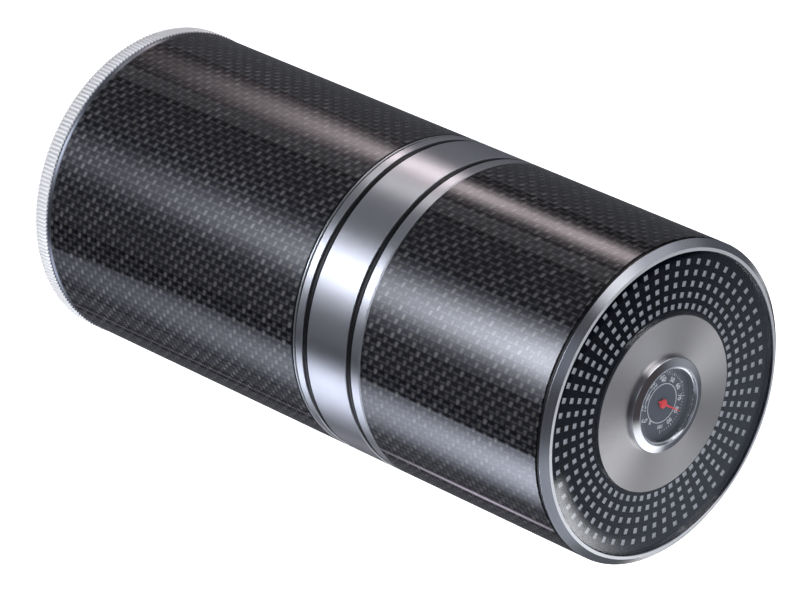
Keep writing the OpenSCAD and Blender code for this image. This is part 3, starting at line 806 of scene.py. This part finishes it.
# ------------------------------------------------------------------ materials of the CAD nodes that stay
KEEP = {
    "body_sleeve": "alu_inside", "neck_orings": "rubber_black", "seam_gasket": "gloss_black", "seat_seal": "rubber_black",
    "body_liner": "cedar_liner", "body_floor": "cedar_disc", "base_ring": "alu_inside", "floor_screws": "brass_part",
    "base_gasket": "rubber_black", "foot_pad": "rubber_black", "humidifier_cup": "moulded_black", "humidifier_grille": "moulded_black",
    "cup_screw": "screw_steel", "lid_sleeve": "alu_inside", "bezel_gasket": "gloss_black", "dot_screen": "screen_black",
    "backing_plate": "dot_silver", "end_plate": "alu_inside", "lid_inner_disc": "cedar_disc", "lid_liner": "cedar_liner",
    "disc_screws": "screw_steel", "gauge_housing": "slate_paint", "gauge_dial": "dial_face", "gauge_ring": "rubber_black",
    "gauge_bridge": "brass_part", "bridge_screws": "screw_steel", "gauge_coil": "copper_strip", "arbor": "brass_part",
}
for node, mat in KEEP.items():
    o = NODE[node]
    if not o.material_slots:
        o.data.materials.append(MATS[mat])
    for s in o.material_slots:
        s.material = MATS[mat]

# ------------------------------------------------------------------ stage
sc = bpy.context.scene


def stage_mesh(name, verts, faces, mat):
    me = bpy.data.meshes.new(name)
    me.from_pydata(verts, [], faces)
    me.materials.append(mat)
    o = bpy.data.objects.new(name, me)
    sc.collection.objects.link(o)
    return o


def floor():
    m = bpy.data.materials.new("floor_white")
    m.use_nodes = True
    t = Tree(m.node_tree)
    b = m.node_tree.nodes["Principled BSDF"]
    setp(b, color=(0.86, 0.86, 0.86), rough=0.9, spec=0.1)
    b.inputs["Emission Color"].default_value = (1, 1, 1, 1)
    b.inputs["Emission Strength"].default_value = 0.95
    # seen from underneath the floor is clear, so that the base can be looked at
    tr = t.node("ShaderNodeBsdfTransparent")
    mx = t.node("ShaderNodeMixShader")
    ge = t.node("ShaderNodeNewGeometry")
    t.link(ge.outputs["Backfacing"], mx.inputs[0])
    t.link(b.outputs[0], mx.inputs[1])
    t.link(tr.outputs[0], mx.inputs[2])
    t.link(mx.outputs[0], m.node_tree.nodes["Material Output"].inputs[0])
    s = 12.0
    o = stage_mesh("floor", [(-s, -s, 0), (s, -s, 0), (s, s, 0), (-s, s, 0)], [(0, 1, 2, 3)], m)
    o.visible_glossy = False
    o.visible_shadow = False
    return o


floor()


def softbox(name, az, dist, half_w, z0, z1, lum, tint=(1, 1, 1)):
    """a vertical card that only reflections see; lum(t, h, z) gives the brightness, h = mm to the side of increasing
    azimuth, z = height in mm"""
    m = bpy.data.materials.new(name)
    m.use_nodes = True
    nt = m.node_tree
    nt.nodes.clear()
    t = Tree(nt)
    c = direction(az, 0) * dist
    side = (direction(az + 90, 0)).normalized()
    g = t.node("ShaderNodeNewGeometry").outputs["Position"]
    d = t.node("ShaderNodeVectorMath", operation="DOT_PRODUCT")
    t.link(g, d.inputs[0])
    d.inputs[1].default_value = side
    h = t.math("MULTIPLY", d.outputs["Value"], 1000.0)
    sx = t.node("ShaderNodeSeparateXYZ")
    t.link(g, sx.inputs[0])
    z = t.math("MULTIPLY", sx.outputs[2], 1000.0)
    e = t.node("ShaderNodeEmission")
    e.inputs[0].default_value = (*tint, 1)
    t.link(lum(t, h, z), e.inputs[1])
    out = t.node("ShaderNodeOutputMaterial")
    t.link(e.outputs[0], out.inputs[0])
    m.cycles.emission_sampling = "NONE"
    v = []
    for sx_, zz in ((-1, z0), (1, z0), (1, z1), (-1, z1)):
        p = c + side * (sx_ * half_w * MM)
        v.append((p.x, p.y, zz * MM))
    o = stage_mesh(name, v, [(0, 1, 2, 3)], m)
    o.visible_camera = False
    o.visible_diffuse = False
    o.visible_shadow = False
    o.visible_transmission = True
    return o


def gauss(t, x, c, s):
    q = t.math("DIVIDE", t.math("SUBTRACT", x, c), s)
    return t.math("EXPONENT", t.math("MULTIPLY", t.math("MULTIPLY", q, q), -0.5))


def expo(t, z, z0, k, peak):
    return t.math("MINIMUM", t.math("MULTIPLY", t.math("EXPONENT", t.math("MULTIPLY", t.math("SUBTRACT", z, z0), k)), peak), peak)


def upper(t, z, lum, z0=-212.0, z1=-165.0):
    """fades a card out above the height that the lid's edge mirrors"""
    return t.math("MULTIPLY", lum, t.mapr(z, z0, z1, 1.0, 0.0, smooth=True))


def skirt(t, h, s, k):
    """a bright middle with a wide faint skirt"""
    return t.math("ADD", t.math("MULTIPLY", gauss(t, h, 0.0, s), 1.0 - k), t.math("MULTIPLY", gauss(t, h, 0.0, 230.0), k))


# main strip, beside the camera
softbox("card_front", -6, 0.6, 300, -900, -160,
        lambda t, h, z: upper(t, z, t.math("MULTIPLY", t.mixf(t.mapr(h, -1.0, 1.0), skirt(t, h, 90.0, 0.18), skirt(t, h, 120.0, 0.07)),
                                            expo(t, z, -220.0, 0.0087, 13.0))), (0.93, 0.97, 1.11))


# broad panel on the lower side, with a straight edge
def panel_left(t, h, z):
    # h grows towards azimuth 0
    a = t.mixf(t.mapr(h, -1.0, 1.0), gauss(t, h, 0.0, 150.0), gauss(t, h, 0.0, 110.0))
    edge = t.math("ADD", 165.0, t.math("MULTIPLY", t.math("MINIMUM", t.math("ADD", z, 440.0), 0.0), 1.1))
    cut = t.mapr(t.math("SUBTRACT", edge, h), -4.0, 6.0, smooth=True)
    return upper(t, z, t.math("MULTIPLY", t.math("MULTIPLY", a, cut), expo(t, z, -220.0, 0.0074, 5.6)))


softbox("card_left", -84, 0.6, 330, -900, -160, panel_left, (0.90, 0.95, 1.13))
# narrow warm strip on the upper side
def panel_right(t, h, z):
    # the strip widens and fades towards its far end
    w = t.mapr(z, -480.0, -320.0, 2.1, 1.0, smooth=True)
    g = t.math("DIVIDE", h, w)
    a = t.mixf(t.mapr(h, -1.0, 1.0), gauss(t, g, 0.0, 52.0), gauss(t, g, 0.0, 47.0))
    dip = t.math("SUBTRACT", 1.0, t.math("MULTIPLY", gauss(t, z, -275.0, 17.0), 0.2))
    a = t.math("MULTIPLY", a, dip)
    return upper(t, z, t.math("MULTIPLY", t.math("MULTIPLY", a, gauss(t, z, -282.0, 112.0)), 4.3))


softbox("card_right", 84.5, 0.6, 220, -900, -160, panel_right, (1.08, 0.94, 0.98))
# grey card between the two
softbox("card_grey", 68, 0.62, 150, -900, 300,
        lambda t, h, z: t.math("MULTIPLY", t.mapr(h, -150.0, -80.0, smooth=True), 0.42), (0.98, 0.98, 1.06))
# short strip above the others, which only the brushed metal picks up
softbox("card_strip", 58, 0.6, 130, -186, 10,
        lambda t, h, z: t.math("MULTIPLY", t.math("MULTIPLY", gauss(t, h, 0.0, 42.0), 3.0),
                               t.math("MULTIPLY", t.mapr(z, -186.0, -160.0, smooth=True), t.mapr(z, 5.0, -75.0, smooth=True))), (1.0, 0.99, 1.02))
# thin glancing line
softbox("card_line", -132, 0.6, 60, -600, 0,
        lambda t, h, z: t.math("MULTIPLY", gauss(t, h, 0.0, 15.0), t.math("ADD", t.math("MULTIPLY", gauss(t, z, -262.0, 38.0), 1.6), t.mapr(z, -180.0, -330.0, 0.0, 0.2, smooth=True))),
        (1.04, 0.95, 1.14))


def soft_back(sig, peak):
    """a strip that fades out at both ends, for the sides that face away"""
    def lum(t, h, z):
        ends = t.math("MULTIPLY", t.mapr(z, -175.0, -95.0, smooth=True), t.mapr(z, 150.0, 0.0, smooth=True))
        return t.math("MULTIPLY", t.math("MULTIPLY", gauss(t, h, 0.0, sig), ends), peak)
    return lum


softbox("card_back_a", 152, 0.66, 240, -176, 160, soft_back(62.0, 2.4), (0.98, 0.99, 1.04))
softbox("card_back_b", -158, 0.66, 240, -176, 160, soft_back(88.0, 1.5), (1.0, 0.99, 1.0))


def card_over_disc():
    """what the flat end mirrors: a round pale field a little off centre, with a bright edge on one side"""
    cam = sc.camera.matrix_world.translation / MM
    h = 350.0
    k = 1.0 + h / (cam.z - GZ)
    off = Vector((cam.x, cam.y)) * (1.0 - k)          # where the disc's centre lands on the card
    m = bpy.data.materials.new("card_disc")
    m.use_nodes = True
    nt = m.node_tree
    nt.nodes.clear()
    t = Tree(nt)
    sx = t.node("ShaderNodeSeparateXYZ")
    t.link(t.node("ShaderNodeNewGeometry").outputs["Position"], sx.inputs[0])
    x = t.math("DIVIDE", t.math("SUBTRACT", t.math("MULTIPLY", sx.outputs[0], 1000.0), off.x), k * R)
    y = t.math("DIVIDE", t.math("SUBTRACT", t.math("MULTIPLY", sx.outputs[1], 1000.0), off.y), k * R)

    def dist(x0, y0):
        a, b = t.math("SUBTRACT", x, x0), t.math("SUBTRACT", y, y0)
        return t.math("SQRT", t.math("ADD", t.math("MULTIPLY", a, a), t.math("MULTIPLY", b, b)))

    u = math.radians(28)
    field = t.mapr(dist(0.19 * math.sin(u), 0.19 * math.cos(u)), 1.045, 1.055, 0.42, 0.02, smooth=True)
    ang = t.math("ARCTAN2", t.math("MULTIPLY", x, -1.0), t.math("MULTIPLY", y, -1.0))
    r = dist(0.0, 0.0)
    # outside the brushed disc the field fades towards the near side
    shade = t.math("MULTIPLY_ADD", t.math("COSINE", t.math("ADD", ang, math.radians(155))), 0.5, 0.65)
    field = t.math("MULTIPLY", field, t.mixf(t.mapr(r, 0.54, 0.57), 1.0, shade))
    span = t.mixf(t.mapr(ang, math.radians(-68.5), math.radians(-67.5)), gauss(t, ang, math.radians(-68), math.radians(17)),
                  gauss(t, ang, math.radians(-68), math.radians(32)))
    span = t.math("MULTIPLY", span, t.mapr(ang, math.radians(-51), math.radians(-44), 1.0, 0.0, smooth=True))
    haze = t.math("MULTIPLY", t.mapr(r, 0.80, 0.91, smooth=True), span)
    e = t.node("ShaderNodeEmission")
    haze = t.math("MULTIPLY", haze, 4.2)
    whole = t.math("ADD", haze, field)
    t.link(t.mix(t.math("DIVIDE", haze, whole), (0.87, 0.96, 1.13), (0.98, 0.99, 1.03)), e.inputs[0])
    t.link(whole, e.inputs[1])
    t.link(e.outputs[0], t.node("ShaderNodeOutputMaterial").inputs[0])
    m.cycles.emission_sampling = "NONE"
    n, rr = 96, 1.12 * k * R
    v = [((off.x + rr * math.cos(2 * math.pi * i / n)) * MM, (off.y + rr * math.sin(2 * math.pi * i / n)) * MM, (GZ + h) * MM)
         for i in range(n)]
    o = stage_mesh("card_disc", v, [tuple(range(n))], m)
    o.visible_camera = False
    o.visible_diffuse = False
    o.visible_shadow = False


card_over_disc()


def lamp(name, az, el, dist, size, power):
    """soft light that only matt surfaces answer to; the mirrors have the cards"""
    li = bpy.data.lights.new(name, "AREA")
    li.shape = "DISK"
    li.size = size
    li.energy = power
    o = bpy.data.objects.new(name, li)
    sc.collection.objects.link(o)
    d = direction(az, el)
    p = d * dist + Vector((0, 0, 0.11))
    o.matrix_world = Matrix.Translation(p) @ d.to_track_quat("Z", "Y").to_matrix().to_4x4()
    o.visible_camera = False
    o.visible_glossy = False
    o.visible_transmission = False


lamp("key_left", -52, 12, 1.5, 1.0, 14.0)
lamp("top_soft", 0, 88, 1.5, 1.0, 9.0)


def world():
    w = bpy.data.worlds.new("studio")
    sc.world = w
    w.use_nodes = True
    nt = w.node_tree
    nt.nodes.clear()
    t = Tree(nt)
    v = t.node("ShaderNodeTexCoord").outputs["Generated"]
    sx = t.node("ShaderNodeSeparateXYZ")
    t.link(v, sx.inputs[0])
    up = sx.outputs[2]
    back = t.mapr(sx.outputs[1], 0.2, 0.85, smooth=True)
    lowc = t.mix(back, (0.13, 0.134, 0.15), (0.08, 0.083, 0.094))
    base = t.mix(t.mapr(up, -0.1, 0.1, smooth=True), lowc, (0.10, 0.105, 0.125))
    base = t.mix(t.mapr(up, 0.72, 0.92, smooth=True), base, (0.060, 0.053, 0.058))
    total = base
    blobs = [
        # azimuth, elevation, inner, outer, colour
        (-150, 36, 12, 26, (0.94, 0.96, 1.0)),
        (180, 37, 14, 30, (0.26, 0.27, 0.29)),
        (-100, 58, 5, 20, (0.10, 0.105, 0.12)),
        (67, 40, 8, 20, (1.35, 1.33, 1.40)),
        (93, 28, 6, 20, (0.50, 0.50, 0.54)),
        (112, 18, 4, 18, (0.20, 0.20, 0.21)),
        (0, 54, 4, 17, (0.19, 0.21, 0.26)),
        (-98, 24, 20, 38, (0.235, 0.25, 0.285)),
    ]
    for az, el, inner, outer, col in blobs:
        d = t.node("ShaderNodeVectorMath", operation="DOT_PRODUCT")
        t.link(v, d.inputs[0])
        d.inputs[1].default_value = direction(az, el)
        f = t.mapr(d.outputs["Value"], math.cos(math.radians(outer)), math.cos(math.radians(inner)), smooth=True)
        sc_ = t.node("ShaderNodeVectorMath", operation="SCALE")
        sc_.inputs[0].default_value = col
        t.link(f, sc_.inputs["Scale"])
        ad = t.node("ShaderNodeVectorMath", operation="ADD")
        t.link(total, ad.inputs[0])
        t.link(sc_.outputs[0], ad.inputs[1])
        total = ad.outputs[0]
    lp = t.node("ShaderNodeLightPath")
    bg = t.node("ShaderNodeBackground")
    t.link(t.mix(lp.outputs["Is Camera Ray"], total, (1.0, 1.0, 1.0)), bg.inputs[0])
    out = t.node("ShaderNodeOutputWorld")
    t.link(bg.outputs[0], out.inputs[0])


world()
sc.view_settings.view_transform = "Standard"
sc.view_settings.look = "None"
sc.view_settings.exposure = 0.0
sc.view_settings.gamma = 1.0
